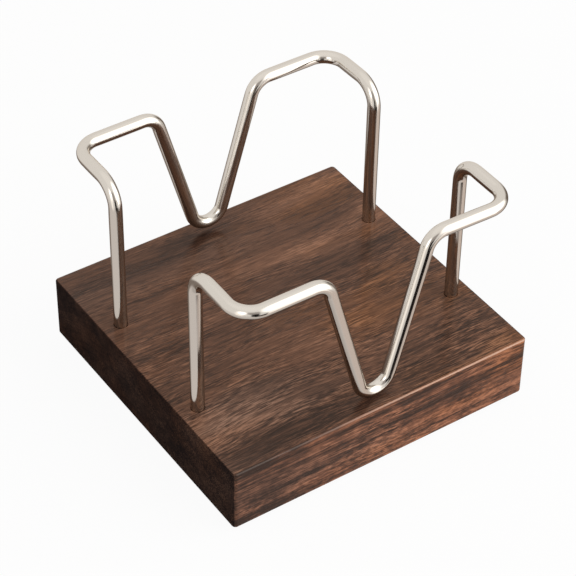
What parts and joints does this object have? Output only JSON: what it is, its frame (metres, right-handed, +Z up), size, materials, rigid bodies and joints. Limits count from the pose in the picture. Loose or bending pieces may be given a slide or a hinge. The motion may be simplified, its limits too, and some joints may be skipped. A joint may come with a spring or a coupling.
{
  "type": "memo pad holder",
  "caption": "Square walnut block with bent wire rails, each dipping in a vee, that hold a square stack of loose notes on a desk.",
  "frame": {"origin": "centre of the surface that the holder rests on, below the centre of the block", "axes": "+Z up; +X along the grain of the block, from the left legs to the right legs; the front rail stands on the -Y side"},
  "size_m": [0.1, 0.097, 0.0733],
  "materials": {
    "walnut": "satin lacquered walnut, grain along X",
    "plated_wire": "polished plated steel wire",
    "grip_pad": "matt black foam rubber"
  },
  "bodies": {
    "root": {"wood_block": "walnut", "front_wire_rail": "plated_wire", "rear_wire_rail": "plated_wire", "grip_pad_front_left": "grip_pad", "grip_pad_front_right": "grip_pad", "grip_pad_rear_left": "grip_pad", "grip_pad_rear_right": "grip_pad"}
  },
  "joints": []
}
